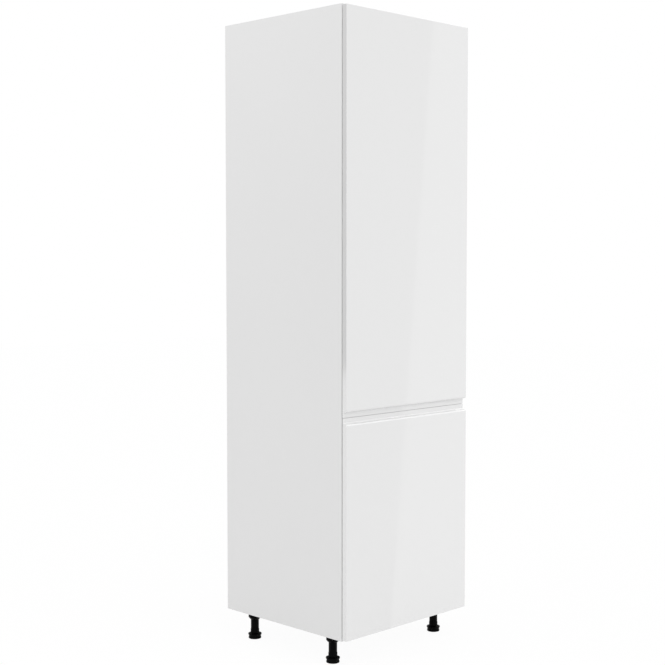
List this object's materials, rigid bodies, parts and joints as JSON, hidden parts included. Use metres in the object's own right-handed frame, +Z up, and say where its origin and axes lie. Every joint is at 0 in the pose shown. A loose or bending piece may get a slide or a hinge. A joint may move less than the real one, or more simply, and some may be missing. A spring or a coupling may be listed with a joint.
{
  "type": "kitchen cabinet",
  "caption": "Tall kitchen cabinet on adjustable legs, with upper and lower handleless doors on concealed hinges and shelves on pins inside.",
  "frame": {"origin": "on the floor, under the middle of the cabinet's outline in plan", "axes": "+X to the right seen from the front, +Y from the front to the back, +Z up; the doors face -Y"},
  "size_m": [0.6, 0.58, 2.115],
  "materials": {
    "laminate": "white melamine laminate on particle board, matt",
    "gloss_front": "high-gloss white foil on board",
    "back_sheet": "hardboard, painted white on its inner side",
    "leg_plastic": "black moulded plastic, satin",
    "hinge_steel": "nickel-plated pressed steel",
    "pin_steel": "zinc-plated turned steel"
  },
  "bodies": {
    "carcass": {"back_sheet": "back_sheet", "bottom_panel": "laminate", "fixed_shelf": "laminate", "hinge_arm_lower_high": "hinge_steel", "hinge_arm_lower_low": "hinge_steel", "hinge_arm_upper_high": "hinge_steel", "hinge_arm_upper_low": "hinge_steel", "hinge_arm_upper_middle": "hinge_steel", "hinge_plate_lower_high": "hinge_steel", "hinge_plate_lower_low": "hinge_steel", "hinge_plate_upper_high": "hinge_steel", "hinge_plate_upper_low": "hinge_steel", "hinge_plate_upper_middle": "hinge_steel", "leg_socket_back_left": "leg_plastic", "leg_socket_back_right": "leg_plastic", "leg_socket_front_left": "leg_plastic", "leg_socket_front_right": "leg_plastic", "leg_tube_back_left": "leg_plastic", "leg_tube_back_right": "leg_plastic", "leg_tube_front_left": "leg_plastic", "leg_tube_front_right": "leg_plastic", "pin_lower_1_back_left": "pin_steel", "pin_lower_1_back_right": "pin_steel", "pin_lower_1_front_left": "pin_steel", "pin_lower_1_front_right": "pin_steel", "pin_upper_1_back_left": "pin_steel", "pin_upper_1_back_right": "pin_steel", "pin_upper_1_front_left": "pin_steel", "pin_upper_1_front_right": "pin_steel", "pin_upper_2_back_left": "pin_steel", "pin_upper_2_back_right": "pin_steel", "pin_upper_2_front_left": "pin_steel", "pin_upper_2_front_right": "pin_steel", "pin_upper_3_back_left": "pin_steel", "pin_upper_3_back_right": "pin_steel", "pin_upper_3_front_left": "pin_steel", "pin_upper_3_front_right": "pin_steel", "shelf_lower_1": "laminate", "shelf_upper_1": "laminate", "shelf_upper_2": "laminate", "shelf_upper_3": "laminate", "side_panel_left": "laminate", "side_panel_right": "laminate", "top_panel": "laminate"},
    "lower_links": {"hinge_link_lower_high": "hinge_steel", "hinge_link_lower_low": "hinge_steel"},
    "lower_door": {"door_lower": "gloss_front", "hinge_cup_lower_high": "hinge_steel", "hinge_cup_lower_low": "hinge_steel"},
    "upper_links": {"hinge_link_upper_high": "hinge_steel", "hinge_link_upper_low": "hinge_steel", "hinge_link_upper_middle": "hinge_steel"},
    "upper_door": {"door_upper": "gloss_front", "hinge_cup_upper_high": "hinge_steel", "hinge_cup_upper_low": "hinge_steel", "hinge_cup_upper_middle": "hinge_steel"},
    "foot_front_left": {"leg_foot_front_left": "leg_plastic"},
    "foot_front_right": {"leg_foot_front_right": "leg_plastic"},
    "foot_back_left": {"leg_foot_back_left": "leg_plastic"},
    "foot_back_right": {"leg_foot_back_right": "leg_plastic"}
  },
  "joints": [
    {"name": "lower_door_swing", "type": "hinge", "parent": "lower_links", "child": "lower_door", "pos_m": [0.2877, -0.2778, 0.456], "axis": [0, 0, 1], "range_deg": [0, 136.5], "stiffness_Nm_per_rad": 0.6, "springref_deg": -68.75},
    {"name": "lower_links_swing", "type": "hinge", "parent": "carcass", "child": "lower_links", "pos_m": [0.2675, -0.2708, 0.456], "axis": [0, 0, -1], "range_deg": [0, 36.6]},
    {"name": "upper_door_swing", "type": "hinge", "parent": "upper_links", "child": "upper_door", "pos_m": [0.2877, -0.2778, 1.464], "axis": [0, 0, 1], "range_deg": [0, 136.5], "stiffness_Nm_per_rad": 0.6, "springref_deg": -68.75},
    {"name": "upper_links_swing", "type": "hinge", "parent": "carcass", "child": "upper_links", "pos_m": [0.2675, -0.2708, 1.464], "axis": [0, 0, -1], "range_deg": [0, 36.6]},
    {"name": "foot_front_left_screw", "type": "slide", "parent": "carcass", "child": "foot_front_left", "axis": [0, 0, -1], "range_m": [0, 0.02]},
    {"name": "foot_front_right_screw", "type": "slide", "parent": "carcass", "child": "foot_front_right", "axis": [0, 0, -1], "range_m": [0, 0.02]},
    {"name": "foot_back_left_screw", "type": "slide", "parent": "carcass", "child": "foot_back_left", "axis": [0, 0, -1], "range_m": [0, 0.02]},
    {"name": "foot_back_right_screw", "type": "slide", "parent": "carcass", "child": "foot_back_right", "axis": [0, 0, -1], "range_m": [0, 0.02]}
  ],
  "couplings": [
    {"joint": "lower_links_swing", "follows": "lower_door_swing", "ratio": 0.2674},
    {"joint": "upper_links_swing", "follows": "upper_door_swing", "ratio": 0.2674}
  ]
}
